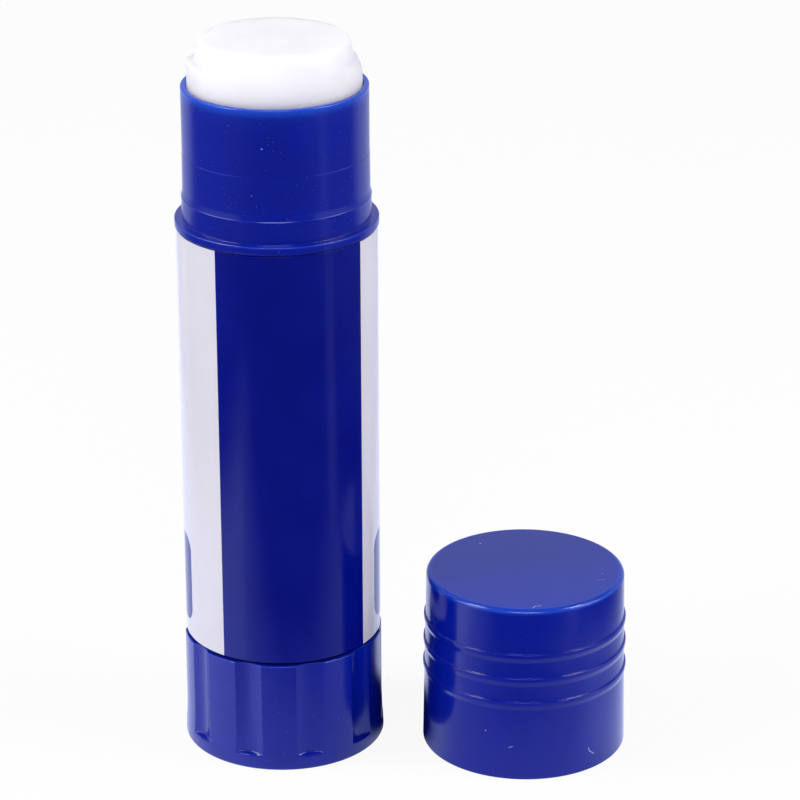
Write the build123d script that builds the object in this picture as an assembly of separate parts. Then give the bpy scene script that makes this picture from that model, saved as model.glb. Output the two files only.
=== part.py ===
"""Twist-up glue stick, opened, with its cap standing on its mouth beside it.

Lengths are in millimetres and +Z is up. The origin is the centre of the knob's foot, on the surface that the
stick stands on. The cap stands along +X. The glue is wound up a little out of the neck, as it is in use.
"""

import os
from math import cos, radians, sin

from build123d import *

# Bore of the barrel, which the glue and its carrier slide in
bore_radius = 8.55
glue_clearance = 0.08
carrier_clearance = 0.1

# Knob: a fluted cup that turns on the barrel's spigot
knob_height = 11.6
knob_proud = 0.03
knob_edge_rounding = 0.15
foot_flare = 0.15
foot_flare_height = 4.0
foot_rounding = 0.3
foot_ring_width = 1.5
foot_recess = 0.4
foot_pad_radius = 4.0
knob_floor = 1.2
flute_count = 10
flute_width = 3.0
flute_depth = 0.4
flute_ledge_height = 1.6
flute_start_angle = 3.0
knob_gap = 0.3

# Pivot and snap ring between knob and barrel
pivot_clearance = 0.08
spigot_wall = 0.5
spigot_foot_gap = 0.9
snap_proud = 0.15
snap_height = 0.8
snap_rise = 2.2
snap_play = 0.1

# Boss and webs inside the knob, which hold the spindle
boss_radius = 4.4
boss_height = 5.0
socket_across = 5.0
socket_floor = 0.6
web_count = 6
web_thickness = 0.7
web_height = 3.6
web_end_gap = 0.45

# Spindle: a two-start left-hand screw, so that a clockwise turn seen from the foot raises the glue
thread_lead = 5.0
thread_starts = 2
thread_crest_radius = 2.75
thread_depth = 0.65
thread_crest_width = 0.6
thread_flank_width = 0.45
thread_clearance = 0.12
root_clearance = 0.03
collar_setback = 0.2
collar_height = 1.0
spindle_recess = 6.95
spindle_tip_length = 1.2
spindle_tip_step = 0.2
spindle_tip_chamfer = 0.5

# Carrier: a cup on a threaded hub
carrier_rest_gap = 1.15
carrier_floor = 1.2
carrier_wall = 0.8
cup_depth = 3.0
skirt_depth = 6.0
skirt_wall = 0.8
hub_wall = 1.25
hub_length = 9.0
nut_length = 7.0
hub_bore_clearance = 0.3
carrier_fillet = 0.3

# Keys: ribs in the barrel that stop the carrier from turning
key_count = 4
key_width = 1.0
key_proud = 0.35
key_clearance = 0.12
key_run_in = 2.9
key_recess = 7.15
key_ramp = 1.5

# Barrel
barrel_wall = 1.45
lip_height = 0.4
label_height = 42.8
label_end_gap = 0.05
flange_thickness = 0.65
flange_rounding = 0.15
label_seat_depth = 0.22
neck_height = 13.3
neck_wall = 0.55
neck_step = 0.08
neck_step_height = 6.85
neck_step_length = 0.56
neck_rim_rounding = 0.15
bead_rise = 2.35
bead_height = 0.55
bead_proud = 0.2

# Label: a printed film wrapped once round the barrel
label_thickness = 0.08
label_adhesive = 0.02
label_seam = 0.3
label_seam_angle = 90.0

# Glue: a cast block with the shape of the cap's sealing ring in its top
glue_show = 2.6
glue_boss_height = 1.95
glue_boss_clearance = 0.08
glue_boss_taper = 0.45
glue_boss_rounding = 0.45
glue_ledge_rounding = 0.25
cast_gap = 0.03
glue_spindle_gap = 0.35
wound_down = 3.25
groove_end_gap = 0.4

# Cap
cap_stand_off = 4.14
cap_crown = 5.3
cap_wall = 0.92
cap_draft = 0.32
cap_top_rounding = 0.5
cap_mouth_rounding = 0.15
cap_grip = 0.02
cap_mouth_chamfer = 0.2
cap_guide_depth = 0.7
cap_guide_clearance = 0.12
cap_ceiling = 1.2
cap_ring_count = 3
cap_ring_drop = 5.08
cap_ring_pitch = 2.6
cap_ring_height = 1.15
cap_ring_proud = 0.16
plug_entry = 0.45
plug_tip_wall = 0.65
plug_clearance = 0.1
plug_root_wall = 1.5

# Overrun of every cut past the surface that it opens, and how closely an edge is matched by radius and height
overrun = 1.0
edge_match = 0.01

# Radii that follow from the sizes above
glue_radius = bore_radius - glue_clearance
spigot_radius = bore_radius + spigot_wall
pivot_radius = spigot_radius + pivot_clearance
flange_radius = bore_radius + barrel_wall
seat_radius = flange_radius - label_seat_depth
neck_radius = bore_radius + neck_wall
neck_base_radius = neck_radius + neck_step
bead_radius = neck_base_radius + bead_proud
knob_radius = flange_radius + knob_proud
foot_radius = knob_radius + foot_flare
thread_root_radius = thread_crest_radius - thread_depth
hub_bore_radius = thread_crest_radius + hub_bore_clearance
hub_radius = hub_bore_radius + hub_wall
cup_radius = bore_radius - carrier_clearance
glue_root_radius = cup_radius - carrier_wall - cast_gap
plug_radius = bore_radius - plug_clearance
plug_tip_inner = plug_radius - plug_tip_wall
glue_boss_base_radius = plug_tip_inner - glue_boss_clearance
cap_bore_radius = bead_radius + cap_grip
cap_mouth_radius = cap_bore_radius + cap_wall
cap_top_radius = cap_mouth_radius - cap_draft
cap_spacing = foot_radius + cap_stand_off + cap_mouth_radius

# Heights that follow from the sizes above
knob_floor_top = foot_recess + knob_floor
boss_top = knob_floor_top + boss_height
thread_foot = boss_top + collar_height
barrel_foot = knob_height + knob_gap
spigot_foot = knob_floor_top + spigot_foot_gap
seat_foot = barrel_foot + lip_height
label_foot = seat_foot + label_end_gap
label_top = label_foot + label_height
flange_foot = label_top + label_end_gap
flange_top = flange_foot + flange_thickness
neck_top = flange_top + neck_height
key_foot = barrel_foot - key_run_in
key_top = neck_top - key_recess
spindle_top = neck_top - spindle_recess
thread_top = spindle_top - spindle_tip_length
hub_foot = thread_foot + carrier_rest_gap + wound_down
carrier_floor_height = hub_foot + hub_length
carrier_floor_top = carrier_floor_height + carrier_floor
glue_ledge_height = neck_top + glue_show
glue_top = glue_ledge_height + glue_boss_height
cap_height = neck_height + cap_crown
cap_guide_height = neck_height - cap_guide_depth
plug_tip_height = neck_height - plug_entry


def turned(points):
    """A ring or disc turned about the Z axis from an outline of (radius, height) points."""
    outline = Polyline([(radius, 0, height) for radius, height in points], close=True)
    return revolve(make_face(outline), Axis.Z)


def circle_edges(shape, radius, height):
    """The circular edges of a turned shape that lie at one radius and one height."""
    return [
        edge
        for edge in shape.edges().filter_by(GeomType.CIRCLE)
        if abs(edge.radius - radius) < edge_match and abs(edge.arc_center.Z - height) < edge_match
    ]


def rounded_ring(radius, proud, height, centre_height):
    """A rounded bead that stands proud of a wall, turned from one arc with its ends sunk in the wall."""
    sunk_radius = radius - proud
    arc = ThreePointArc(
        (radius, 0, centre_height - height / 2),
        (radius + proud, 0, centre_height),
        (radius, 0, centre_height + height / 2),
    )
    back = Polyline(
        (radius, 0, centre_height + height / 2),
        (sunk_radius, 0, centre_height + height / 2),
        (sunk_radius, 0, centre_height - height / 2),
        (radius, 0, centre_height - height / 2),
    )
    return revolve(make_face(arc.edges() + back.edges()), Axis.Z)


def around(count, start_angle=0.0):
    """Angles of a feature that repeats evenly round the axis."""
    return [start_angle + 360 * index / count for index in range(count)]


def thread_outline(root_radius, crest_radius, crest_width):
    """Cross-section of the screw at height zero: one lobe for each start, with a crest, two flanks and a root."""
    half_crest = 180 * crest_width / thread_lead
    half_foot = half_crest + 360 * thread_flank_width / thread_lead
    mid_flank = (half_crest + half_foot) / 2
    mid_radius = (root_radius + crest_radius) / 2
    pitch_angle = 360 / thread_starts
    edges = []
    for angle in around(thread_starts):
        crest = CenterArc((0, 0), crest_radius, angle - half_crest, 2 * half_crest)
        root = CenterArc((0, 0), root_radius, angle + half_foot, pitch_angle - 2 * half_foot)
        flank_foot = polar(root_radius, angle - half_foot)
        rising = ThreePointArc(flank_foot, polar(mid_radius, angle - mid_flank), crest @ 0)
        falling = ThreePointArc(crest @ 1, polar(mid_radius, angle + mid_flank), root @ 0)
        edges += [rising, crest, falling, root]
    return make_face(edges)


def polar(radius, angle):
    """A point of the plane at a radius and an angle in degrees."""
    return (radius * cos(radians(angle)), radius * sin(radians(angle)))


def screw(outline, foot, top):
    """The thread's cross-section swept up the axis while it turns left-handed, in step with height zero."""
    start_turn = -360 * foot / thread_lead
    whole_turn = -360 * (top - foot) / thread_lead
    section = outline.rotate(Axis.Z, start_turn)
    twisted = Solid.extrude_linear_with_rotation(section.face(), (0, 0, 0), (0, 0, top - foot), whole_turn)
    return Pos(0, 0, foot) * twisted


def key_bar(inner_radius, width, foot, top, ramp):
    """One bar along the bore, from an inner radius out into the wall, with a ramp at its upper end."""
    outer_radius = bore_radius + neck_wall / 2
    side = Polyline(
        (inner_radius, 0, foot),
        (outer_radius, 0, foot),
        (outer_radius, 0, top),
        (inner_radius, 0, top - ramp),
        close=True,
    )
    return extrude(make_face(side), amount=width / 2, dir=(0, 1, 0), both=True)


def key_bars(inner_radius, width, foot, top, ramp=0.0):
    """The full set of bars, evenly spaced."""
    bar = key_bar(inner_radius, width, foot, top, ramp)
    return [bar.rotate(Axis.Z, angle) for angle in around(key_count)]


def base_knob():
    """Fluted cup with a ring recess in its foot, a snap groove in its bore, and a webbed spindle boss."""
    body = turned(
        [
            (0, 0),
            (foot_pad_radius, 0),
            (foot_pad_radius, foot_recess),
            (foot_radius - foot_ring_width, foot_recess),
            (foot_radius - foot_ring_width, 0),
            (foot_radius, 0),
            (knob_radius, foot_flare_height),
            (knob_radius, knob_height),
            (pivot_radius, knob_height),
            (pivot_radius, knob_floor_top),
            (0, knob_floor_top),
        ]
    )
    body = fillet(circle_edges(body, foot_radius, 0), foot_rounding)
    body = fillet(circle_edges(body, knob_radius, knob_height), knob_edge_rounding)

    # Flutes are scallops of one round cutter, open at the top edge and closed by a ledge above the foot
    cutter_radius = (flute_width**2 / 4 + flute_depth**2) / (2 * flute_depth)
    cutter = Pos(knob_radius - flute_depth + cutter_radius, 0, flute_ledge_height) * Cylinder(
        cutter_radius,
        knob_height - flute_ledge_height + overrun,
        align=(Align.CENTER, Align.CENTER, Align.MIN),
    )
    body -= [cutter.rotate(Axis.Z, angle) for angle in around(flute_count, flute_start_angle)]

    # The snap groove takes the barrel's ring with a little play above and below
    groove_height = snap_height + 2 * snap_play
    groove_radius = spigot_radius + snap_proud + pivot_clearance
    groove_centre = spigot_foot + snap_rise
    body -= turned(
        [
            (pivot_radius - overrun, groove_centre - groove_height / 2),
            (pivot_radius, groove_centre - groove_height / 2),
            (groove_radius, groove_centre - groove_height / 4),
            (groove_radius, groove_centre + groove_height / 4),
            (pivot_radius, groove_centre + groove_height / 2),
            (pivot_radius - overrun, groove_centre + groove_height / 2),
        ]
    )

    web = Pos(0, 0, knob_floor_top) * Box(
        bore_radius - web_end_gap,
        web_thickness,
        web_height,
        align=(Align.MIN, Align.CENTER, Align.MIN),
    )
    body += [web.rotate(Axis.Z, angle) for angle in around(web_count)]
    body += Pos(0, 0, knob_floor_top) * Cylinder(
        boss_radius, boss_height, align=(Align.CENTER, Align.CENTER, Align.MIN)
    )
    socket = RegularPolygon(socket_across / 2, 6, major_radius=False)
    body -= Pos(0, 0, knob_floor_top + socket_floor) * extrude(socket, amount=boss_height)
    return body.solid()


def spindle():
    """Screw with a hexagonal root pressed into the knob's boss, a collar that seats on it, and a plain tip."""
    root_foot = knob_floor_top + socket_floor
    root = RegularPolygon(socket_across / 2 - root_clearance, 6, major_radius=False)
    body = Pos(0, 0, root_foot) * extrude(root, amount=boss_top - root_foot)
    body += Pos(0, 0, boss_top) * Cylinder(
        boss_radius - collar_setback, collar_height, align=(Align.CENTER, Align.CENTER, Align.MIN)
    )
    outline = thread_outline(thread_root_radius, thread_crest_radius, thread_crest_width)
    body += screw(outline, thread_foot, thread_top)
    tip_radius = thread_root_radius - spindle_tip_step
    tip = Cylinder(tip_radius, spindle_tip_length, align=(Align.CENTER, Align.CENTER, Align.MIN))
    tip = chamfer(circle_edges(tip, tip_radius, spindle_tip_length), spindle_tip_chamfer)
    body += Pos(0, 0, thread_top) * tip
    return body.solid()


def carrier():
    """Cup that holds the glue, with a skirt that guides it, key slots, and a hub threaded on the spindle."""
    inner_radius = cup_radius - carrier_wall
    skirt_inner_radius = cup_radius - skirt_wall
    skirt_foot = carrier_floor_height - skirt_depth
    body = turned(
        [
            (hub_bore_radius, hub_foot),
            (hub_radius, hub_foot),
            (hub_radius, carrier_floor_height),
            (skirt_inner_radius, carrier_floor_height),
            (skirt_inner_radius, skirt_foot),
            (cup_radius, skirt_foot),
            (cup_radius, carrier_floor_top + cup_depth),
            (inner_radius, carrier_floor_top + cup_depth),
            (inner_radius, carrier_floor_top),
            (hub_bore_radius, carrier_floor_top),
        ]
    )
    body = fillet(circle_edges(body, hub_radius, carrier_floor_height), carrier_fillet)

    # The nut fills the hub's lower part
    nut = Pos(0, 0, hub_foot) * Cylinder(
        (hub_radius + hub_bore_radius) / 2, nut_length, align=(Align.CENTER, Align.CENTER, Align.MIN)
    )
    nut_outline = thread_outline(
        thread_root_radius + thread_clearance,
        thread_crest_radius + thread_clearance,
        thread_crest_width + 2 * thread_clearance,
    )
    nut -= screw(nut_outline, hub_foot - overrun, hub_foot + nut_length + overrun)
    body += nut

    slot_foot = skirt_foot - overrun
    slot_top = carrier_floor_top + cup_depth + overrun
    slot_inner_radius = bore_radius - key_proud - key_clearance
    body -= key_bars(slot_inner_radius, key_width + 2 * key_clearance, slot_foot, slot_top)
    return body.solid()


def barrel():
    """Tube with a pivot spigot, a label seat between lip and flange, a stepped neck with a bead, and keys."""
    body = turned(
        [
            (bore_radius, spigot_foot),
            (spigot_radius, spigot_foot),
            (spigot_radius, barrel_foot),
            (flange_radius, barrel_foot),
            (flange_radius, seat_foot),
            (seat_radius, seat_foot),
            (seat_radius, flange_foot),
            (flange_radius, flange_foot),
            (flange_radius, flange_top),
            (neck_base_radius, flange_top),
            (neck_base_radius, flange_top + neck_step_height - neck_step_length / 2),
            (neck_radius, flange_top + neck_step_height + neck_step_length / 2),
            (neck_radius, neck_top),
            (bore_radius, neck_top),
        ]
    )
    body = fillet(circle_edges(body, neck_radius, neck_top), neck_rim_rounding)
    body = fillet(circle_edges(body, flange_radius, flange_top), flange_rounding)
    body += rounded_ring(neck_base_radius, bead_proud, bead_height, flange_top + bead_rise)
    body += rounded_ring(spigot_radius, snap_proud, snap_height, spigot_foot + snap_rise)
    body += key_bars(bore_radius - key_proud, key_width, key_foot, key_top, key_ramp)
    return body.solid()


def label():
    """Film wrapped round the label seat, its two ends meeting at a narrow seam behind."""
    inner_radius = seat_radius + label_adhesive
    outer_radius = inner_radius + label_thickness
    film = turned(
        [
            (inner_radius, label_foot),
            (outer_radius, label_foot),
            (outer_radius, label_top),
            (inner_radius, label_top),
        ]
    )
    seam = Pos(0, 0, label_foot - overrun) * Box(
        outer_radius + overrun,
        label_seam,
        label_height + 2 * overrun,
        align=(Align.MIN, Align.CENTER, Align.MIN),
    )
    return (film - seam.rotate(Axis.Z, label_seam_angle)).solid()


def glue():
    """Cast block that fills cup and bore, hollow where the spindle stands and grooved where the keys run."""
    spindle_bore_radius = thread_crest_radius + glue_spindle_gap
    spindle_bore_top = spindle_top + wound_down + groove_end_gap
    boss_top_radius = glue_boss_base_radius - glue_boss_taper
    body = turned(
        [
            (spindle_bore_radius, carrier_floor_top),
            (glue_root_radius, carrier_floor_top),
            (glue_root_radius, carrier_floor_top + cup_depth),
            (glue_radius, carrier_floor_top + cup_depth),
            (glue_radius, glue_ledge_height),
            (glue_boss_base_radius, glue_ledge_height),
            (boss_top_radius, glue_top),
            (0, glue_top),
            (0, spindle_bore_top),
            (spindle_bore_radius, spindle_bore_top),
        ]
    )
    body = fillet(circle_edges(body, boss_top_radius, glue_top), glue_boss_rounding)
    body = fillet(circle_edges(body, glue_radius, glue_ledge_height), glue_ledge_rounding)
    groove_inner_radius = bore_radius - key_proud - key_clearance
    groove_top = key_top + wound_down + groove_end_gap
    groove_foot = carrier_floor_top + cup_depth
    body -= key_bars(groove_inner_radius, key_width + 2 * key_clearance, groove_foot, groove_top, key_ramp)
    return body.solid()


def cap():
    """Push-on cap, standing on its mouth: a drafted shell with three grip rings and a sealing ring inside."""
    ceiling_height = cap_height - cap_ceiling
    plug_root_inner = plug_radius - plug_root_wall
    guide_radius = neck_radius + cap_guide_clearance
    body = turned(
        [
            (cap_bore_radius, 0),
            (cap_mouth_radius, 0),
            (cap_top_radius, cap_height),
            (0, cap_height),
            (0, ceiling_height),
            (plug_root_inner, ceiling_height),
            (plug_tip_inner, plug_tip_height),
            (plug_radius, plug_tip_height),
            (plug_radius, ceiling_height),
            (guide_radius, ceiling_height),
            (guide_radius, cap_guide_height),
            (cap_bore_radius, cap_guide_height),
        ]
    )
    body = fillet(circle_edges(body, cap_top_radius, cap_height), cap_top_rounding)
    body = fillet(circle_edges(body, cap_mouth_radius, 0), cap_mouth_rounding)
    body = chamfer(circle_edges(body, cap_bore_radius, 0), cap_mouth_chamfer)
    for index in range(cap_ring_count):
        height = cap_height - cap_ring_drop - index * cap_ring_pitch
        wall_radius = cap_mouth_radius - cap_draft * height / cap_height
        body += rounded_ring(wall_radius, cap_ring_proud, cap_ring_height, height)
    return Pos(cap_spacing, 0, 0) * body.solid()


parts = {
    "base_knob": base_knob(),
    "spindle": spindle(),
    "carrier": carrier(),
    "barrel": barrel(),
    "label": label(),
    "glue": glue(),
    "cap": cap(),
}

os.makedirs("parts", exist_ok=True)
for node, shape in parts.items():
    export_step(shape, f"parts/{node}.step")
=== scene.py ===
"""A twist-up glue stick with its cap taken off, standing on a pale table."""

from math import acos, ceil, cos, pi, radians, sin, sqrt, tan

import bmesh
import bpy
from mathutils import Matrix, Vector, noise


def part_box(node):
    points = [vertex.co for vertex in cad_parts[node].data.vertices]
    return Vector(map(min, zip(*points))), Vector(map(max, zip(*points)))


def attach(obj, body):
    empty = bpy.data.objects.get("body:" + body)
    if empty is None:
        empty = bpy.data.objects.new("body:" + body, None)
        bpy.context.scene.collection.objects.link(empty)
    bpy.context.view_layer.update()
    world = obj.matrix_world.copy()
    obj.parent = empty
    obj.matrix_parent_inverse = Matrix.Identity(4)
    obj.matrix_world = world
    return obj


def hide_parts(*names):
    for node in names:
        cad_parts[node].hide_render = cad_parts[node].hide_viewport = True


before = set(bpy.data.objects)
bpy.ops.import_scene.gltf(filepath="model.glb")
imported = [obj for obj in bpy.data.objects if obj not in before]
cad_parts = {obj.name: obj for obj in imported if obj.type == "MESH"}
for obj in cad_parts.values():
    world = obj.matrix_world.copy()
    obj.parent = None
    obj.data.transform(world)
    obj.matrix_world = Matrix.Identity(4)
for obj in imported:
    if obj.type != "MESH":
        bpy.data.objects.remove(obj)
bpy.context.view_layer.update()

# Knob: the fluted foot that the user turns, one injection moulding in blue polypropylene.
# It snaps over the barrel's spigot, and its boss holds the screw in a hexagonal socket.

mm = 0.001
knob_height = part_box("base_knob")[1].z
knob_radius = 10.03 * mm
foot_flare = 0.15 * mm
foot_flare_height = 4.0 * mm
foot_rounding = 0.3 * mm
foot_ring_width = 1.5 * mm
foot_recess = 0.4 * mm
foot_pad_radius = 4.0 * mm
pivot_radius = 9.13 * mm
knob_floor_top = 1.6 * mm
snap_groove_radius = 9.28 * mm
snap_groove_height = 4.7 * mm
snap_groove_width = 1.0 * mm
flute_count = 10
flute_width = 3.0 * mm
flute_depth = 0.4 * mm
flute_ledge = 1.6 * mm
flute_ledge_ramp = 0.15 * mm
flute_start_angle = 3.0
flute_edge_rounding = 0.05 * mm
boss_radius = 4.4 * mm
boss_top = 6.6 * mm
socket_across = 5.0 * mm
socket_floor = 2.2 * mm
web_count = 6
web_reach = 8.1 * mm
web_thickness = 0.7 * mm
web_top = 5.2 * mm
hairline = 0.01 * mm


def rounded_outline(corners, steps=5, closed=True):
    """Points of an outline whose (radius, height, rounding) corners are rounded by fine arcs."""
    points = []
    count = len(corners)
    for index, (radius, height, rounding) in enumerate(corners):
        here = Vector((radius, height))
        end = not closed and index in (0, count - 1)
        if rounding == 0 or end:
            points.append(here)
            continue
        before = (Vector(corners[index - 1][:2]) - here).normalized()
        after = (Vector(corners[(index + 1) % count][:2]) - here).normalized()
        half_angle = acos(max(-1.0, min(1.0, before.dot(after)))) / 2
        centre = here + (before + after).normalized() * rounding / sin(half_angle)
        first = here + before * rounding / tan(half_angle) - centre
        last = here + after * rounding / tan(half_angle) - centre
        for step in range(steps + 1):
            points.append(centre + rounding * first.slerp(last, step / steps))
    return points


def turned(name, outline, angles, shape=None, closed=True):
    """A piece turned about the Z axis from (radius, height) points.

    shape takes a point's radius, height and angle, and gives its final radius and height.
    """
    mesh = bmesh.new()
    rings = []
    for radius, height in outline:
        if radius < hairline:
            rings.append([mesh.verts.new((0, 0, height))] * len(angles))
            continue
        ring = []
        for angle in angles:
            r, z = shape(radius, height, angle) if shape else (radius, height)
            ring.append(mesh.verts.new((r * cos(angle), r * sin(angle), z)))
        rings.append(ring)
    pairs = list(zip(rings, rings[1:] + rings[:1]))
    for lower, upper in pairs if closed else pairs[:-1]:
        for index in range(len(angles)):
            after = (index + 1) % len(angles)
            corners = [lower[index], lower[after], upper[after], upper[index]]
            corners = list(dict.fromkeys(corners))
            if len(corners) > 2:
                mesh.faces.new(corners)
    bmesh.ops.recalc_face_normals(mesh, faces=mesh.faces)
    data = bpy.data.meshes.new(name)
    mesh.to_mesh(data)
    mesh.free()
    data.shade_smooth()
    piece = bpy.data.objects.new(name, data)
    bpy.context.scene.collection.objects.link(piece)
    normals = piece.modifiers.new("even_shading", "WEIGHTED_NORMAL")
    normals.weight = 60
    return piece


def even_angles(count):
    """Evenly spaced angles round the axis, in radians."""
    return [2 * pi * index / count for index in range(count)]


def beside(angle, places):
    """How far an angle lies from the nearest of these places round the axis."""
    return min(abs((angle - place + pi) % (2 * pi) - pi) for place in places)


def with_edges(angles, edges, fineness):
    """Those angles, with a fine cluster at each edge where a feature starts or ends."""
    cluster = [edge + step * fineness for edge in edges for step in (-2, -1, 0, 1, 2)]
    cluster_reach = 3.2 * fineness
    kept = [angle for angle in angles if beside(angle, edges) > cluster_reach]
    return sorted(angle % (2 * pi) for angle in kept + cluster)


def smooth_step(value, low, high):
    """Zero below low, one above high, and smooth between them."""
    share = max(0.0, min(1.0, (value - low) / (high - low)))
    return share * share * (3 - 2 * share)


def smooth_least(first, second, rounding):
    """The smaller of two lengths, with the corner between them rounded."""
    blend = max(rounding - abs(first - second), 0.0) / rounding
    return min(first, second) - blend * blend * rounding / 4


flute_pitch = 2 * pi / flute_count
flute_centres = [radians(flute_start_angle) + index * flute_pitch for index in range(flute_count)]
cutter_radius = (flute_width**2 / 4 + flute_depth**2) / (2 * flute_depth)
cutter_place = knob_radius - flute_depth + cutter_radius
flute_half_angle = flute_width / 2 / knob_radius
socket_inner = socket_across / 2


def knob_shape(radius, height, angle):
    """The flutes pressed into the knob's wall, and the hexagon of the socket in its boss."""
    if radius > (pivot_radius + knob_radius) / 2 and height > flute_ledge - flute_ledge_ramp:
        offset = (angle - flute_centres[0] + flute_pitch / 2) % flute_pitch - flute_pitch / 2
        reach = cutter_place * sin(offset)
        if abs(reach) < cutter_radius:
            scallop = cutter_place * cos(offset) - sqrt(cutter_radius**2 - reach**2)
            fluted = smooth_least(radius, scallop, flute_edge_rounding)
            share = smooth_step(height, flute_ledge - flute_ledge_ramp, flute_ledge + flute_ledge_ramp)
            return radius + (fluted - radius) * share, height
    if socket_inner - hairline < radius < socket_inner + hairline:
        side = (angle + pi / 6) % (pi / 3) - pi / 6
        return radius / cos(side), height
    return radius, height


foot_radius = knob_radius + foot_flare
foot_inner = foot_radius - foot_ring_width
ledge_steps = (-2, -1, -0.7, -0.4, -0.1, 0.2, 0.5, 0.8, 1, 2)
ledge_rows = [flute_ledge + step * flute_ledge_ramp for step in ledge_steps]


def wall_at(height):
    """Radius of the knob's wall, which flares towards the foot."""
    return knob_radius + foot_flare * max(0.0, 1 - height / foot_flare_height)


knob_outline = rounded_outline(
    [(0, 0, 0), (foot_pad_radius, 0, 0.1 * mm), (foot_pad_radius, foot_recess, 0.1 * mm),
     (foot_inner, foot_recess, 0.1 * mm), (foot_inner, 0, 0.15 * mm), (foot_radius, 0, foot_rounding)]
    + [(wall_at(row), row, 0) for row in ledge_rows]
    + [(knob_radius, foot_flare_height, 0), (knob_radius, knob_height, 0.09 * mm),
       (pivot_radius, knob_height, 0.1 * mm),
       (pivot_radius, snap_groove_height + snap_groove_width / 2, 0),
       (snap_groove_radius, snap_groove_height + snap_groove_width / 4, 0),
       (snap_groove_radius, snap_groove_height - snap_groove_width / 4, 0),
       (pivot_radius, snap_groove_height - snap_groove_width / 2, 0),
       (pivot_radius, knob_floor_top, 0.3 * mm), (boss_radius, knob_floor_top, 0.2 * mm),
       (boss_radius, boss_top, 0.15 * mm), (socket_inner, boss_top, 0), (socket_inner, socket_floor, 0),
       (0, socket_floor, 0)],
    closed=False,
)
flute_edges = [centre + side * flute_half_angle for centre in flute_centres for side in (-1, 1)]
knob_angles = with_edges(even_angles(240), flute_edges, fineness=radians(0.35))
knob = turned("knob", knob_outline, knob_angles, knob_shape, closed=False)


def add_bar(piece, start, end, width, low, high, angle):
    """Adds a bar to a piece's mesh. It reaches from one radius to another along an angle."""
    mesh = bmesh.new()
    mesh.from_mesh(piece.data)
    turn = Matrix.Rotation(angle, 4, "Z")
    middle = Matrix.Translation(((start + end) / 2, 0, (low + high) / 2))
    size = Matrix.Diagonal((end - start, width, high - low, 1))
    bmesh.ops.create_cube(mesh, size=1, matrix=turn @ middle @ size)
    mesh.to_mesh(piece.data)
    mesh.free()


web_start = boss_radius - web_thickness / 2
web_foot = knob_floor_top - foot_recess
for angle in even_angles(web_count):
    add_bar(knob, web_start, web_reach, web_thickness, web_foot, web_top, angle)


class Wire:
    """One output in a material's node tree. Arithmetic on it adds the Math nodes that it needs."""

    def __init__(self, tree, output):
        self.tree = tree
        self.output = output

    def node(self, kind, settings, inputs, output=0):
        """Adds a node with these settings, and these values or links as inputs. Gives one of its outputs."""
        made = self.tree.nodes.new("ShaderNode" + kind)
        for name, value in settings.items():
            setattr(made, name, value)
        for key, value in inputs.items():
            if isinstance(value, Wire):
                self.tree.links.new(value.output, made.inputs[key])
            else:
                made.inputs[key].default_value = value
        return None if output is None else Wire(self.tree, made.outputs[output])

    def math(self, operation, *terms):
        """Arithmetic on this value and any other terms."""
        return self.node("Math", {"operation": operation}, dict(enumerate((self, *terms))))

    def at_least(self, least):
        """The larger of two values."""
        return self.math("MAXIMUM", least)

    def part(self, axis):
        """One component of a vector."""
        return self.node("SeparateXYZ", {}, {0: self}, axis)

    def stretched(self, scale):
        """A vector multiplied by another, one component at a time."""
        return self.node("VectorMath", {"operation": "MULTIPLY"}, {0: self, 1: scale})

    def away(self, start):
        """A place as seen from another one."""
        return self.node("VectorMath", {"operation": "SUBTRACT"}, {0: self, 1: start})

    def from_axis(self):
        """How far a place lies from the Z axis."""
        return self.node("VectorMath", {"operation": "LENGTH"}, {0: self.stretched((1, 1, 0))}, 1)

    def noise(self, scale, detail=2.0, roughness=0.5):
        """Soft random values at this many patches to the metre."""
        inputs = {"Vector": self, "Scale": scale, "Detail": detail, "Roughness": roughness}
        return self.node("TexNoise", {}, inputs)

    def between(self, low, high):
        """Zero below low, one above high, smooth between."""
        inputs = {"Value": self, "From Min": low, "From Max": high}
        return self.node("MapRange", {"interpolation_type": "SMOOTHSTEP"}, inputs)

    def __add__(self, other):
        return self.math("ADD", other)

    def __sub__(self, other):
        return self.math("SUBTRACT", other)

    def __rsub__(self, other):
        return self.node("Math", {"operation": "SUBTRACT"}, {0: other, 1: self})

    def __mul__(self, other):
        return self.math("MULTIPLY", other)

    def __lt__(self, other):
        return self.math("LESS_THAN", other)

    __radd__ = __add__
    __rmul__ = __mul__


def new_material(name):
    """An empty material. Gives it, and the place on the piece as a Wire."""
    material = bpy.data.materials.new(name)
    material.use_nodes = True
    tree = material.node_tree
    tree.nodes.clear()
    place = Wire(tree, tree.nodes.new("ShaderNodeTexCoord").outputs["Object"])
    return material, place


def mixed(factor, first, second):
    """A blend of two colours by a Wire."""
    return factor.node("Mix", {"data_type": "RGBA"}, {0: factor, 6: first, 7: second}, 2)


def specks(place, spacing, size, share):
    """Small round specks: about one to each spacing, of at most this size, on this share of the places."""
    inputs = {"Vector": place, "Scale": 1 / spacing}
    distance = place.node("TexVoronoi", {}, inputs, 0)
    chance = place.node("TexVoronoi", {}, inputs, 1).part(0)
    reach = chance * (size / spacing / share) - distance
    return reach.between(0.0, 0.25 * size / spacing) * (chance < share)


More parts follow.
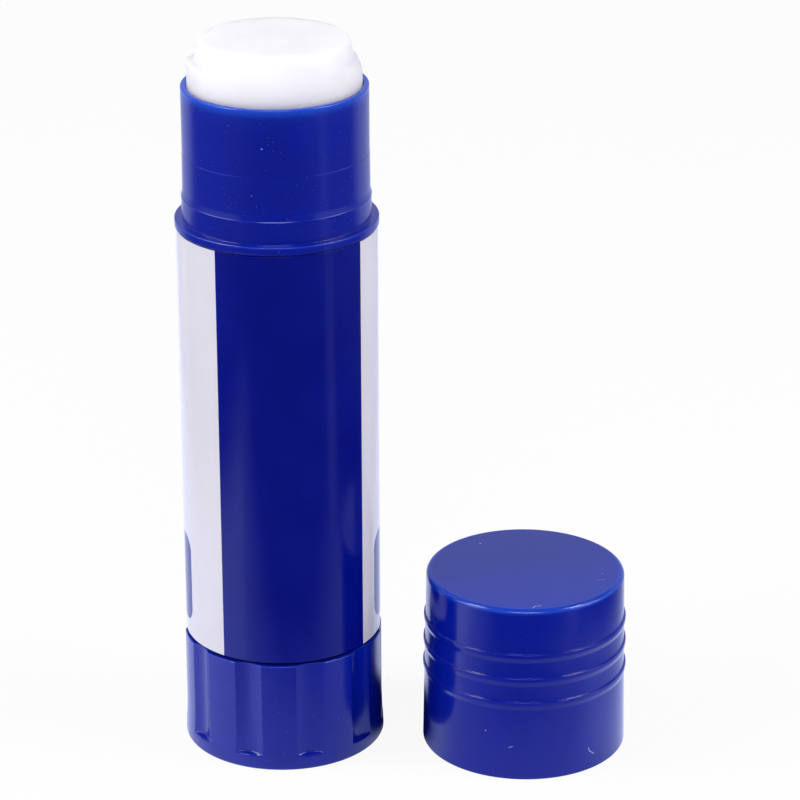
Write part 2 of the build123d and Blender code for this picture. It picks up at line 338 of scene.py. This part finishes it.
def mark(place, start, end, width):
    """A fine scratch, or a speck where its ends lie close. It is one on the line and zero beside it."""
    along = Vector(end) - Vector(start)
    offset = place.away(start)
    scaled = along / max(along.length_squared, hairline**2)
    share = offset.node("VectorMath", {"operation": "DOT_PRODUCT"}, {0: offset, 1: scaled}, 1)
    share = share.at_least(0.0).math("MINIMUM", 1.0)
    nearest = share.node("VectorMath", {"operation": "SCALE"}, {0: along, "Scale": share})
    distance = nearest.node("VectorMath", {"operation": "DISTANCE"}, {0: offset, 1: nearest}, 1)
    return 1 - distance.between(0.3 * width, 0.7 * width)


def finish_material(place, relief, strength, depth, shader):
    """Joins a Principled shader, with this relief and these sockets, to the material's output."""
    normal = place.node("Bump", {}, {"Strength": strength, "Distance": depth, "Height": relief})
    surface = place.node("BsdfPrincipled", {}, {**shader, "Normal": normal})
    place.node("OutputMaterial", {}, {"Surface": surface}, None)


def moulded_blue(name, gloss, dust, painted_glow, marks):
    """Blue polypropylene as moulded: dusty, scratched, and painted a paler blue where the glow mask says: a
    painted glow for light that shines through the plastic's narrow edges.
    """
    material, place = new_material(name)
    cloud = place.noise(160, detail=3)
    flow = place.stretched((1, 1, 0.12)).noise(700)
    peel = place.noise(2600)
    fine_dust = specks(place, spacing=0.24 * mm, size=0.065 * mm, share=dust)
    coarse_dust = specks(place, spacing=1.9 * mm, size=0.10 * mm, share=0.5 * dust)
    dusty = 0.3 * fine_dust + 0.7 * coarse_dust
    edge = painted_glow(place)
    tint = mixed(cloud.between(0.35, 0.65), shell_blue, shell_blue_deep)
    # Painted glow: a paler blue where the mask says, standing for light through the plastic's edges.
    tint = mixed(edge * edge, tint, painted_glow_blue)
    tint = mixed(dusty * 0.22, tint, dust_on_blue)
    rough = gloss + 0.05 * cloud + 0.3 * dusty
    scratches = [mark(place, *line) for line in marks]
    if scratches:
        scratched = sum(scratches[1:], scratches[0])
        tint = mixed(scratched * 0.75, tint, scratch_in_blue)
        rough = rough + 0.3 * scratched
    finish_material(
        place,
        relief=0.12 * peel + 0.25 * flow + 0.8 * dusty,
        strength=0.2,
        depth=0.012 * mm,
        shader={
            "Base Color": tint,
            "Roughness": rough,
            "IOR": 1.49,
            "Subsurface Weight": 0.3,
            "Subsurface Radius": (0.2, 0.35, 1.0),
            "Subsurface Scale": 0.4 * mm,
        },
    )
    return material


shell_blue = (0.0005, 0.0088, 0.305, 1)
shell_blue_deep = (0.0004, 0.0080, 0.282, 1)
# A paler blue that is painted on as a glow where light would shine through.
painted_glow_blue = (0.006, 0.060, 0.53, 1)
dust_on_blue = (0.42, 0.45, 0.75, 1)
scratch_in_blue = (0.50, 0.52, 0.80, 1)
knob_lip_height = 0.4 * mm
knob_lip_glow = 0.4


def knob_painted_glow(place):
    """The knob's painted glow: its upper lip is painted paler, as if lit through the plastic."""
    return knob_lip_glow * place.part(2).between(knob_height - knob_lip_height, knob_height)


knob_plastic = moulded_blue("knob_polypropylene", gloss=0.16, dust=0.25, painted_glow=knob_painted_glow, marks=[])
knob.data.materials.append(knob_plastic)
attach(knob, "knob")
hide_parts("base_knob")

# Spindle: the two-start screw that lifts the carrier, moulded in natural polypropylene.
# Its hexagonal root is pressed into the knob's boss. It keeps its own exact thread.

milky_white = (0.84, 0.85, 0.86, 1)
milky_white_cloudy = (0.76, 0.78, 0.80, 1)
natural, place = new_material("natural_polypropylene")
cloud = place.noise(220, detail=3)
flow = place.stretched((1, 1, 0.15)).noise(900)
finish_material(
    place,
    relief=flow + 0.4 * cloud,
    strength=0.4,
    depth=0.01 * mm,
    shader={
        "Base Color": mixed(cloud.between(0.3, 0.7), milky_white, milky_white_cloudy),
        "Roughness": 0.34 + 0.12 * cloud,
        "IOR": 1.49,
        "Subsurface Weight": 0.4,
        "Subsurface Radius": (1.0, 1.0, 1.1),
        "Subsurface Scale": 0.8 * mm,
    },
)
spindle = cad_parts["spindle"]
spindle.data.materials.clear()
spindle.data.materials.append(natural)

# Barrel: the blue polypropylene tube that everything is built on, one injection moulding.
# Below are a spigot and its snap ring, then the label's seat, the flange, and the neck with a collar.

barrel_low, barrel_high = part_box("barrel")
bore_radius = 8.55 * mm
spigot_radius = 9.05 * mm
snap_height = 4.7 * mm
snap_half = 0.4 * mm
snap_proud = 0.12 * mm
barrel_foot = 11.9 * mm
flange_radius = barrel_high.x
seat_radius = 9.78 * mm
flange_low = 55.08 * mm
flange_top = 55.85 * mm
collar_radius = 9.26 * mm
collar_top = 58.2 * mm
collar_bevel = 0.02 * mm
shoulder_top = 58.75 * mm
shoulder_radius = 9.16 * mm
bead_radius = 9.29 * mm
bead_height = collar_top - 0.1 * mm
bead_half = 0.27 * mm
neck_radius = 9.10 * mm
neck_step = 0.02 * mm
neck_step_height = 0.12 * mm
taper_top = 62.42 * mm
key_count = 4
key_width = 1.0 * mm
key_inner = 8.2 * mm
key_low = 9.0 * mm
key_top = 62.0 * mm
key_ramp = 1.5 * mm

barrel_outline = rounded_outline(
    [(bore_radius, barrel_low.z, 0.05 * mm), (spigot_radius, barrel_low.z, 0.12 * mm),
     (spigot_radius, snap_height - snap_half, 0),
     (spigot_radius + snap_proud, snap_height - snap_half / 2, 0.1 * mm),
     (spigot_radius + snap_proud, snap_height + snap_half / 2, 0.1 * mm),
     (spigot_radius, snap_height + snap_half, 0),
     (spigot_radius, barrel_foot, 0.06 * mm), (seat_radius, barrel_foot, 0.05 * mm),
     (seat_radius, flange_low, 0.03 * mm), (flange_radius, flange_low, 0.08 * mm),
     (flange_radius, flange_top, 0.11 * mm), (collar_radius, flange_top, 0.06 * mm),
     (collar_radius, bead_height - bead_half, 0.2 * mm), (bead_radius, bead_height, 0.05 * mm),
     (collar_radius - collar_bevel, collar_top - collar_bevel, 0.04 * mm),
     (shoulder_radius, shoulder_top, 0.3 * mm), (neck_radius + neck_step, taper_top, 0.1 * mm),
     (neck_radius, taper_top + neck_step_height, 0.06 * mm),
     (neck_radius, barrel_high.z, 0.15 * mm), (bore_radius, barrel_high.z, 0.08 * mm),
     (bore_radius, key_top + 2 * hairline, 0), (bore_radius, key_top, 0),
     (bore_radius, key_top - key_ramp, 0), (bore_radius, key_low + 2 * hairline, 0),
     (bore_radius, key_low, 0)],
)
key_centres = even_angles(key_count)
key_half_angle = key_width / 2 / bore_radius
key_side = radians(0.12)
key_edges = [centre + side * key_half_angle for centre in key_centres for side in (-1, 1)]


def barrel_shape(radius, height, angle):
    """The keys that stand in the bore."""
    if abs(radius - bore_radius) < hairline and key_low < height < key_top + hairline:
        from_key = beside(angle, key_centres)
        across = 1 - smooth_step(from_key, key_half_angle - key_side, key_half_angle + key_side)
        rise = max(0.0, min(1.0, (key_top - height) / key_ramp))
        return radius - (bore_radius - key_inner) * across * rise, height
    return radius, height


barrel_angles = with_edges(even_angles(256), key_edges, fineness=key_side)
barrel = turned("barrel_shell", barrel_outline, barrel_angles, barrel_shape)
rim_start = barrel_high.z - 3.5 * mm
rim_bright_start = barrel_high.z - 1.1 * mm
rim_bright_end = barrel_high.z - 0.15 * mm
flange_start = flange_top - 0.3 * mm


def barrel_painted_glow(place):
    """The barrel's painted glow: the wall near its rim, and the flange's edge, are painted paler as if lit
    through the plastic.
    """
    height = place.part(2)
    rim = 0.35 * height.between(rim_start, barrel_high.z)
    rim = rim + 0.65 * height.between(rim_bright_start, rim_bright_end)
    flange = height.between(flange_start, flange_top)
    flange = flange * (1 - height.between(flange_top, flange_top + hairline))
    flange = flange * place.from_axis().between(seat_radius, flange_radius)
    return rim.at_least(0.75 * flange)


def around(azimuth, radius, height, centre=(0, 0)):
    """A point at an azimuth in degrees about a vertical axis."""
    angle = radians(azimuth)
    return (centre[0] + radius * cos(angle), centre[1] + radius * sin(angle), height)


barrel_marks = [
    (around(-91.8, neck_radius, 65.4 * mm), around(-91.6, neck_radius, 65.4 * mm), 0.12 * mm),
    (around(-19.0, neck_radius, 59.2 * mm), around(-18.6, neck_radius, 58.9 * mm), 0.09 * mm),
    (around(-98.4, neck_radius, 60.7 * mm), around(-98.3, neck_radius, 60.7 * mm), 0.10 * mm),
]
barrel_plastic = moulded_blue(
    "barrel_polypropylene", gloss=0.17, dust=0.3, painted_glow=barrel_painted_glow, marks=barrel_marks
)
barrel.data.materials.append(barrel_plastic)
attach(barrel, "barrel")
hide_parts("barrel")

# Label: a gloss film printed in blue on white, wrapped once round the seat and stuck down.
# Its two ends meet behind. The tall blue panel in front and the two tabs are bare of any words.

label_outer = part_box("label")[1].x
label_foot = 11.95 * mm
label_top = 54.90 * mm
label_thickness = 0.08 * mm
label_seam_angle = radians(90)
label_seam = 0.3 * mm
panel_start = radians(-121.0)
panel_end = radians(-29.5)
tab_width = 10.0 * mm
tab_low = 13.6 * mm
tab_high = 22.9 * mm
tab_rounding = 1.6 * mm
right_tab_start = radians(-15.0)
left_tab_end = radians(-151.5)

film_outline = rounded_outline(
    [(label_outer - label_thickness, label_foot, 0), (label_outer, label_foot, 0.03 * mm),
     (label_outer, label_top, 0.03 * mm), (label_outer - label_thickness, label_top, 0)],
    steps=3,
)
film_steps = 256
film_turn = 2 * pi - label_seam / label_outer
film_start = label_seam_angle + label_seam / label_outer / 2
film_angles = [film_start + film_turn * index / film_steps for index in range(film_steps + 1)]
film = bmesh.new()
film_rings = [
    [film.verts.new((radius * cos(angle), radius * sin(angle), height)) for radius, height in film_outline]
    for angle in film_angles
]
for ring, following in zip(film_rings, film_rings[1:]):
    for index in range(len(ring)):
        after = (index + 1) % len(ring)
        film.faces.new((ring[index], ring[after], following[after], following[index]))
film.faces.new(film_rings[0])
film.faces.new(reversed(film_rings[-1]))
bmesh.ops.recalc_face_normals(film, faces=film.faces)
film_data = bpy.data.meshes.new("label_film")
film.to_mesh(film_data)
film.free()
film_data.shade_smooth()
label = bpy.data.objects.new("label_film", film_data)
bpy.context.scene.collection.objects.link(label)
label.modifiers.new("even_shading", "WEIGHTED_NORMAL").weight = 60

white_ink = (0.69, 0.67, 0.75, 1)
white_ink_cloudy = (0.665, 0.65, 0.73, 1)
blue_ink = (0.0003, 0.0038, 0.190, 1)
blue_ink_cloudy = (0.0005, 0.0052, 0.21, 1)
dust_on_film = (0.55, 0.56, 0.70, 1)
ink_edge = 0.035 * mm

label_material, place = new_material("printed_film")
across, along, up = place.part(0), place.part(1), place.part(2)
azimuth = along.math("ARCTAN2", across)


def turn_from(start):
    """The turn of a place on the film from an azimuth, between none and one whole turn."""
    return (azimuth - start).math("FLOORED_MODULO", 2 * pi)


def strip(start, end):
    """A strip from one azimuth to another over the whole height of the film, with a soft ink edge."""
    turn = turn_from(start)
    soft = ink_edge / label_outer
    return turn.between(0.0, soft) * (1 - turn.between(end - start - soft, end - start))


def tab(start, end):
    """A rounded rectangle on the film, between two azimuths."""
    turn = turn_from((start + end) / 2 - pi) - pi
    side = (turn * label_outer).math("ABSOLUTE") - (tab_width / 2 - tab_rounding)
    rise = (up - (tab_low + tab_high) / 2).math("ABSOLUTE") - ((tab_high - tab_low) / 2 - tab_rounding)
    side = side.at_least(0.0)
    rise = rise.at_least(0.0)
    distance = (side * side + rise * rise).math("SQRT")
    return 1 - distance.between(tab_rounding - ink_edge / 2, tab_rounding + ink_edge / 2)


tab_turn = tab_width / label_outer
inked = strip(panel_start, panel_end)
inked = inked.at_least(tab(right_tab_start, right_tab_start + tab_turn))
inked = inked.at_least(tab(left_tab_end - tab_turn, left_tab_end))
cloud = place.noise(140, detail=3)
fibre = place.noise(1800, detail=3)
white = mixed(cloud.between(0.3, 0.7), white_ink, white_ink_cloudy)
blue = mixed(cloud.between(0.35, 0.7), blue_ink, blue_ink_cloudy)
print_colour = mixed(inked, white, blue)
film_dust = specks(place, spacing=1.6 * mm, size=0.07 * mm, share=0.06)
print_colour = mixed(film_dust * 0.4, print_colour, dust_on_film)
finish_material(
    place,
    relief=0.35 * fibre + 0.5 * cloud + 0.5 * inked,
    strength=0.25,
    depth=0.012 * mm,
    shader={"Base Color": print_colour, "Roughness": 0.13 + 0.05 * cloud, "IOR": 1.40},
)
label.data.materials.append(label_material)
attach(label, "barrel")
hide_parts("label")

# Carrier: the cup that lifts the glue, moulded in natural polypropylene like the spindle.
# Its threaded hub runs on the screw, and slots in its side run on the barrel's keys. It stays exact.

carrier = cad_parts["carrier"]
carrier.data.materials.clear()
carrier.data.materials.append(natural)

# Glue: a cast block of white adhesive, soft as wax, held in the carrier's cup.
# The cap's sealing ring has pressed the ledge into its top, and handling has worn the ledge.

glue_low, glue_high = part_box("glue")
glue_radius = glue_high.x
ledge_height = 71.75 * mm
boss_base = 7.72 * mm
boss_crown = 7.27 * mm
glue_root_radius = 7.62 * mm
cup_rim = 25.2 * mm
spindle_bore = 3.1 * mm
spindle_bore_top = 65.85 * mm
groove_inner = 8.08 * mm
groove_width = 1.24 * mm
groove_top = 65.65 * mm
glue_corners = [
    (spindle_bore, glue_low.z, 0), (glue_root_radius, glue_low.z, 0.1 * mm),
    (glue_root_radius, cup_rim, 0.05 * mm), (glue_radius, cup_rim, 0.1 * mm),
    (glue_radius, groove_top - key_ramp, 0), (glue_radius, groove_top, 0),
    (glue_radius, ledge_height, 0.2 * mm), (boss_base, ledge_height, 0.12 * mm),
    (boss_crown, glue_high.z, 0.5 * mm), (0, glue_high.z, 0), (0, spindle_bore_top, 0),
]


def spread(points, longest):
    """The same outline with its long straight runs divided, so that they can be shaped."""
    divided = []
    for index, here in enumerate(points):
        before = points[index - 1]
        pieces = ceil((here - before).length / longest) if index else 1
        divided += [before.lerp(here, piece / pieces) for piece in range(1, pieces)]
        divided.append(here)
    return divided


glue_outline = spread(rounded_outline(glue_corners, steps=7, closed=False), longest=0.45 * mm)
glue_outline.append(Vector((spindle_bore, spindle_bore_top)))
uneven_start = ledge_height - 3.0 * mm
uneven_depth = 0.02 * mm
wave_depth = 0.025 * mm
wave_place = Vector((3, 1, 7))
dish_depth = 0.02 * mm
dish_size = 3.0 * mm
worn_side = radians(-83)
worn_range = (0.2, 0.6)
wear_radius = 7.34 * mm
wear_top = ledge_height + 1.4 * mm
wear_foot = ledge_height - 2.1 * mm
wear_path = glue_radius - wear_radius + wear_top - wear_foot
boss_foot = boss_base + 0.1 * mm
ledge_sink = 0.45 * mm
sunk_range = (0.03, 0.3)
chip_side = radians(6)
chip_range = (0.93, 0.99)
chip_start = 7.95 * mm
chip_depth = 1.1 * mm
groove_half_angle = groove_width / 2 / glue_radius
groove_edges = [centre + side * groove_half_angle for centre in key_centres for side in (-1, 1)]


def glue_shape(radius, height, angle):
    """The grooves that the barrel's keys run in, and an uneven top that is worn smooth in front."""
    r, z = radius, height
    facing = cos(angle - worn_side)
    if cup_rim < height < groove_top and radius > groove_inner:
        from_key = beside(angle, key_centres)
        across = 1 - smooth_step(from_key, groove_half_angle - key_side, groove_half_angle + key_side)
        rise = min(1.0, (groove_top - height) / key_ramp)
        r -= (glue_radius - groove_inner) * across * rise
    if height > uneven_start and radius > spindle_bore:
        point = Vector((cos(angle), sin(angle), height / glue_radius))
        wave = noise.noise(point * 2.2 + wave_place)
        grain = noise.noise(point * 9.0)
        uneven = smooth_step(height, uneven_start, ledge_height)
        r -= (uneven_depth + wave_depth * (wave + grain)) * uneven
        path = (radius - wear_radius + wear_top - height) / wear_path
        if 0 < path < 1:
            worn = smooth_step(facing, *worn_range)
            bowed = (path + smooth_step(path, 0, 1)) / 2
            r += (wear_radius + (glue_radius - wear_radius) * bowed - r) * worn
            z += (wear_top - (wear_top - wear_foot) * path - z) * worn
            ledge = smooth_step(radius, boss_base, boss_foot)
            ledge *= smooth_step(height, wear_foot, ledge_height)
            z -= ledge_sink * smooth_step(-facing, *sunk_range) * ledge
            chipped = smooth_step(cos(angle - chip_side), *chip_range) * ledge
            z -= chip_depth * chipped * max(0.0, (radius - chip_start) / (glue_radius - chip_start))
    if height > glue_high.z - hairline:
        dish = noise.noise(Vector((r * cos(angle), r * sin(angle), 0)) / dish_size)
        z -= dish_depth * (1 + dish)
    return r, z


glue_angles = with_edges(even_angles(288), groove_edges, fineness=radians(0.15))
glue = turned("glue_block", glue_outline, glue_angles, glue_shape)

low_painted_shade_white = (0.775, 0.76, 0.81, 1)
top_painted_light_white = (0.90, 0.885, 0.96, 1)
cloudy_white = (0.80, 0.79, 0.85, 1)
pitted_white = (0.80, 0.79, 0.86, 1)
glue_material, place = new_material("cast_glue")
cloud = place.noise(230, detail=4)
wax = place.noise(1400, detail=4, roughness=0.6)
smear = place.stretched((1, 1, 0.3)).noise(420, detail=3)
pits = specks(place, spacing=1.9 * mm, size=0.16 * mm, share=0.22)
# Painted light and shade: the glue is painted lighter on its top and darker lower down near the barrel's rim,
# as light from above would make it.
painted_top_light = place.part(2).between(wear_foot, wear_top)
tint = mixed(painted_top_light, low_painted_shade_white, top_painted_light_white)
tint = mixed(cloud.between(0.35, 0.7) * 0.3, tint, cloudy_white)
tint = mixed(pits * 0.35, tint, pitted_white)
finish_material(
    place,
    relief=0.5 * wax + 0.8 * smear - 1.6 * pits,
    strength=0.4,
    depth=0.03 * mm,
    shader={
        "Base Color": tint,
        "Roughness": 0.42 + 0.15 * smear,
        "IOR": 1.45,
        "Subsurface Weight": 1.0,
        "Subsurface Radius": (1.0, 1.0, 1.15),
        "Subsurface Scale": 2.2 * mm,
    },
)
glue.data.materials.append(glue_material)
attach(glue, "carrier")
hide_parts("glue")

# Cap: a drafted blue cup with three grip rings, moulded like the barrel and pushed over the neck.
# Inside its roof stands the sealing ring. It has been taken off and stands on its mouth.

cap_low, cap_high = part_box("cap")
cap_centre = Vector(((cap_low.x + cap_high.x) / 2, (cap_low.y + cap_high.y) / 2, 0))
cap_height = cap_high.z
cap_mouth_radius = 10.32 * mm
cap_top_radius = 10.0 * mm
cap_bore = 9.40 * mm
guide_radius = 9.22 * mm
guide_foot = 12.6 * mm
cap_ceiling = 17.4 * mm
plug_outer = 8.45 * mm
plug_tip = 12.85 * mm
plug_tip_inner = 7.80 * mm
plug_root_inner = 6.95 * mm
ring_heights = [8.32 * mm, 10.92 * mm, 13.52 * mm]
ring_proud = 0.16 * mm
ring_top_half = 0.36 * mm
ring_low_half = 0.62 * mm
ring_crest_low = 0.12 * mm
ring_crest_top = 0.28 * mm
mouth_bevel = 0.2 * mm
guide_ramp = 0.1 * mm


def cap_wall(height):
    """Radius of the cap's drafted outer wall."""
    return cap_mouth_radius + (cap_top_radius - cap_mouth_radius) * height / cap_height


ring_corners = []
for height in ring_heights:
    ring_corners += [
        (cap_wall(height - ring_low_half), height - ring_low_half, 0.10 * mm),
        (cap_wall(height) + ring_proud, height - ring_crest_low, 0.22 * mm),
        (cap_wall(height) + ring_proud, height + ring_crest_top, 0.08 * mm),
        (cap_wall(height + ring_top_half), height + ring_top_half, 0.04 * mm),
    ]
cap_outline = rounded_outline(
    [(cap_bore + mouth_bevel, 0, 0.03 * mm), (cap_mouth_radius, 0, 0.16 * mm)]
    + ring_corners
    + [(cap_top_radius, cap_height, 0.5 * mm), (0, cap_height, 0), (0, cap_ceiling, 0),
       (plug_root_inner, cap_ceiling, 0.2 * mm), (plug_tip_inner, plug_tip, 0.1 * mm),
       (plug_outer, plug_tip, 0.15 * mm), (plug_outer, cap_ceiling, 0.1 * mm),
       (guide_radius, cap_ceiling, 0.1 * mm), (guide_radius, guide_foot + guide_ramp, 0.05 * mm),
       (cap_bore, guide_foot - guide_ramp, 0.05 * mm), (cap_bore, mouth_bevel, 0.05 * mm)],
)
cap = turned("cap_shell", cap_outline, even_angles(288))
cap.data.transform(Matrix.Translation(cap_centre))
cap_glow_start = cap_height - 0.75 * mm
cap_glow_end = cap_height - 0.25 * mm
cap_corner_start = cap_top_radius - 0.65 * mm
cap_corner_end = cap_top_radius - 0.4 * mm


def cap_painted_glow(place):
    """The cap's painted glow: its top, and most of all the corner round it, are painted paler as if lit
    through the plastic.
    """
    top = place.part(2).between(cap_glow_start, cap_glow_end)
    corner = place.away(cap_centre).from_axis().between(cap_corner_start, cap_corner_end)
    return top * (0.5 + 0.35 * corner)


def on_top(across, along):
    """A point on the cap's top, from its centre in millimetres."""
    return (cap_centre.x + across * mm, along * mm, cap_height)


def on_wall(azimuth, height):
    """A point on the cap's wall."""
    return around(azimuth, cap_wall(height * mm), height * mm, cap_centre)


cap_marks = [
    (on_top(-4.90, 5.70), on_top(-4.78, 5.70), 0.16 * mm),
    (on_top(7.81, -0.70), on_top(7.83, -0.70), 0.11 * mm),
    (on_top(7.3, -2.30), on_top(8.1, -2.15), 0.05 * mm),
    (on_top(1.15, -9.25), on_top(1.35, -8.80), 0.07 * mm),
    (on_top(1.35, -8.80), on_top(1.88, -8.68), 0.07 * mm),
    (on_wall(-48.2, 2.5), on_wall(-47.4, 2.1), 0.06 * mm),
    (on_wall(-47.4, 2.1), on_wall(-44.0, 1.6), 0.08 * mm),
    (on_wall(-96.0, 3.55), on_wall(-93.7, 3.7), 0.05 * mm),
    (on_wall(-109.5, 5.1), on_wall(-109.4, 5.1), 0.11 * mm),
    (on_wall(-68.8, 10.5), on_wall(-68.7, 10.6), 0.10 * mm),
]
cap_plastic = moulded_blue("cap_polypropylene", gloss=0.13, dust=0.18, painted_glow=cap_painted_glow, marks=cap_marks)
cap.data.materials.append(cap_plastic)
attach(cap, "cap")
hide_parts("cap")

# Table and wall: white paper under the stick and all round it. The table keeps a soft shadow.
# A dark sheet lies round it and stands up in front. Gloss alone sees it: it paints dark reflections into the
# blue, which gives the blue its depth.


def paper(name, shown, sheen):
    """White paper. The lens sees it white to this share, and gloss and glass see it in this colour."""
    material, place = new_material(name)
    ray = place.tree.nodes.new("ShaderNodeLightPath")
    kinds = ("Is Camera Ray", "Is Glossy Ray", "Is Transmission Ray")
    camera_ray, glossy_ray, through_ray = (Wire(place.tree, ray.outputs[kind]) for kind in kinds)
    sheet = place.node("BsdfDiffuse", {}, {"Color": (0.84, 0.84, 0.85, 1)})
    seen = mixed(camera_ray, sheen, (1, 1, 1, 1))
    shine = place.node("Emission", {}, {"Color": seen, "Strength": 1.0})
    factor = shown * camera_ray + 0.9 * (glossy_ray + through_ray)
    surface = place.node("MixShader", {}, {0: factor, 1: sheet, 2: shine})
    place.node("OutputMaterial", {}, {"Surface": surface}, None)
    return material


table_radius = 1.6
wall_height = 1.1
front = radians(-83.45)
round_table = [Vector((0, 0)), Vector((table_radius, 0))]
table = turned("table", round_table, even_angles(64), closed=False)
table.data.materials.append(paper("table_paper", shown=0.92, sheen=(0.95, 1.05, 1.5, 1)))
upright = [Vector((table_radius, 0)), Vector((table_radius, wall_height))]
wall = turned("wall", upright, even_angles(64), closed=False)
wall.data.materials.append(paper("wall_paper", shown=1.0, sheen=(0.60, 0.64, 1.0, 1)))

shade_sheet_reach = 0.5
shade_sheet_rise = 0.25
shade_sheet_lift = 0.05 * mm
shade_sheet_data = bpy.data.meshes.new("gloss_shade_sheet")
corners = [(-shade_sheet_reach, -shade_sheet_reach, 0), (shade_sheet_reach, -shade_sheet_reach, 0)]
corners += [(shade_sheet_reach, shade_sheet_reach, 0), (-shade_sheet_reach, shade_sheet_reach, 0)]
corners += [(-shade_sheet_reach, -shade_sheet_reach, shade_sheet_rise), (shade_sheet_reach, -shade_sheet_reach, shade_sheet_rise)]
shade_sheet_data.from_pydata(corners, [], [(0, 1, 2, 3), (0, 1, 5, 4)])
gloss_shade_sheet = bpy.data.objects.new("gloss_shade_sheet", shade_sheet_data)
gloss_shade_sheet.location.z = shade_sheet_lift
gloss_shade_sheet.rotation_euler.z = front + pi / 2
bpy.context.scene.collection.objects.link(gloss_shade_sheet)
shade_sheet_material, place = new_material("painted_reflection_shade")

# The sheet is open near the objects, behind them, thinly at the far sides and in one narrow beam; there the
# paper's white shows in the gloss, and the beam paints a narrow reflection streak. It is closed in the gap
# between the stick and the cap, which paints that gap's shade into the reflections.
side, ahead = place.part(0), -1.0 * place.part(1)
aside = side.math("ABSOLUTE")
leftward = (-1.0 * side).at_least(0.0)
rightward = (side - 20 * mm).at_least(0.0)
depth = ahead - 0.9 * leftward - 0.35 * rightward
near = 0.45 * (1 - depth.between(2 * mm, 14 * mm)) + 0.55 * (1 - depth.between(8 * mm, 46 * mm))
near = near * (1 - leftward.between(50 * mm, 90 * mm)) * (1 - side.between(38 * mm, 78 * mm))
bearing = side.math("ARCTAN2", ahead)
right_behind = bearing.between(radians(96), radians(126))
left_behind = (-1.0 * bearing).between(radians(108), radians(134))
far = 0.01 + 0.10 * aside.between(90 * mm, 150 * mm)
open_share = near.at_least(0.65 * (right_behind + left_behind)).at_least(far)
# Painted shade: the sheet stays closed round this point, darkening the gap between stick and cap in the
# gloss.
gap_shade_centre = Vector((15.5, 2, 0)) * mm
open_share = open_share * place.away(gap_shade_centre).from_axis().between(5 * mm, 10 * mm)
# Painted reflection: a narrow opening that shows a pale streak in the gloss.
beam = bearing.between(radians(50), radians(56)) * (1 - bearing.between(radians(61), radians(67)))
open_share = open_share.at_least(0.3 * beam)
bare = place.node("BsdfTransparent", {}, {})
# The sheet's near-black side, a painted dark reflection.
dark = place.node("BsdfDiffuse", {}, {"Color": (0.01, 0.01, 0.012, 1)})
surface = place.node("MixShader", {}, {0: open_share, 1: dark, 2: bare})
place.node("OutputMaterial", {}, {"Surface": surface}, None)
shade_sheet_data.materials.append(shade_sheet_material)
gloss_shade_sheet.visible_camera = False
gloss_shade_sheet.visible_diffuse = False
gloss_shade_sheet.visible_transmission = False
gloss_shade_sheet.visible_shadow = False

# Light: a dim even room, a broad soft lamp on each side with a smaller one above it, and a fill lamp
# over the front. All of them show in the gloss.

world = bpy.data.worlds.new("dim_room")
bpy.context.scene.world = world
world.use_nodes = True
world.node_tree.nodes["Background"].inputs["Color"].default_value = (0.96, 0.97, 1.0, 1)
world.node_tree.nodes["Background"].inputs["Strength"].default_value = 0.15
aim = Vector((0.008, 0, 0.03))


def soft_lamp(name, place, width, height, power):
    """A rectangular soft lamp that faces the object. Its power is in watts."""
    data = bpy.data.lights.new(name, "AREA")
    data.shape = "RECTANGLE"
    data.size = width
    data.size_y = height
    data.energy = power
    lamp = bpy.data.objects.new(name, data)
    lamp.location = place
    lamp.rotation_euler = (aim - Vector(place)).to_track_quat("-Z", "Y").to_euler()
    bpy.context.scene.collection.objects.link(lamp)


soft_lamp("left_lamp", (-0.46, -0.14, 0.30), width=0.40, height=0.34, power=1.2)
soft_lamp("right_lamp", (0.50, -0.06, 0.30), width=0.30, height=0.30, power=0.75)
soft_lamp("upper_left_lamp", (-0.33, -0.09, 0.50), width=0.20, height=0.12, power=1.1)
soft_lamp("upper_right_lamp", (0.40, -0.07, 0.50), width=0.20, height=0.12, power=1.2)
soft_lamp("fill_lamp", (0.05, -0.70, 0.60), width=0.50, height=0.24, power=2.5)

# Camera: a long lens that looks down on the stick from a little to its right, level but for a hair.

camera_place = Vector((36.706, -319.245, 166.759)) * mm
camera_turn = 4.4257
camera_pitch = 22.1224
camera_roll = -0.1625
focal_pixels = 3479.04
image_pixels = 800
sensor_width = 36.0
camera_data = bpy.data.cameras.new("camera")
camera_data.sensor_width = sensor_width
camera_data.lens = focal_pixels * sensor_width / image_pixels
camera_data.clip_start = 0.01
camera = bpy.data.objects.new("camera", camera_data)
level = Matrix.Rotation(radians(camera_turn), 4, "Z") @ Matrix.Rotation(radians(90 - camera_pitch), 4, "X")
camera.matrix_world = Matrix.Translation(camera_place) @ level @ Matrix.Rotation(radians(camera_roll), 4, "Z")
bpy.context.scene.collection.objects.link(camera)
bpy.context.scene.camera = camera
bpy.context.scene.view_settings.view_transform = "Standard"
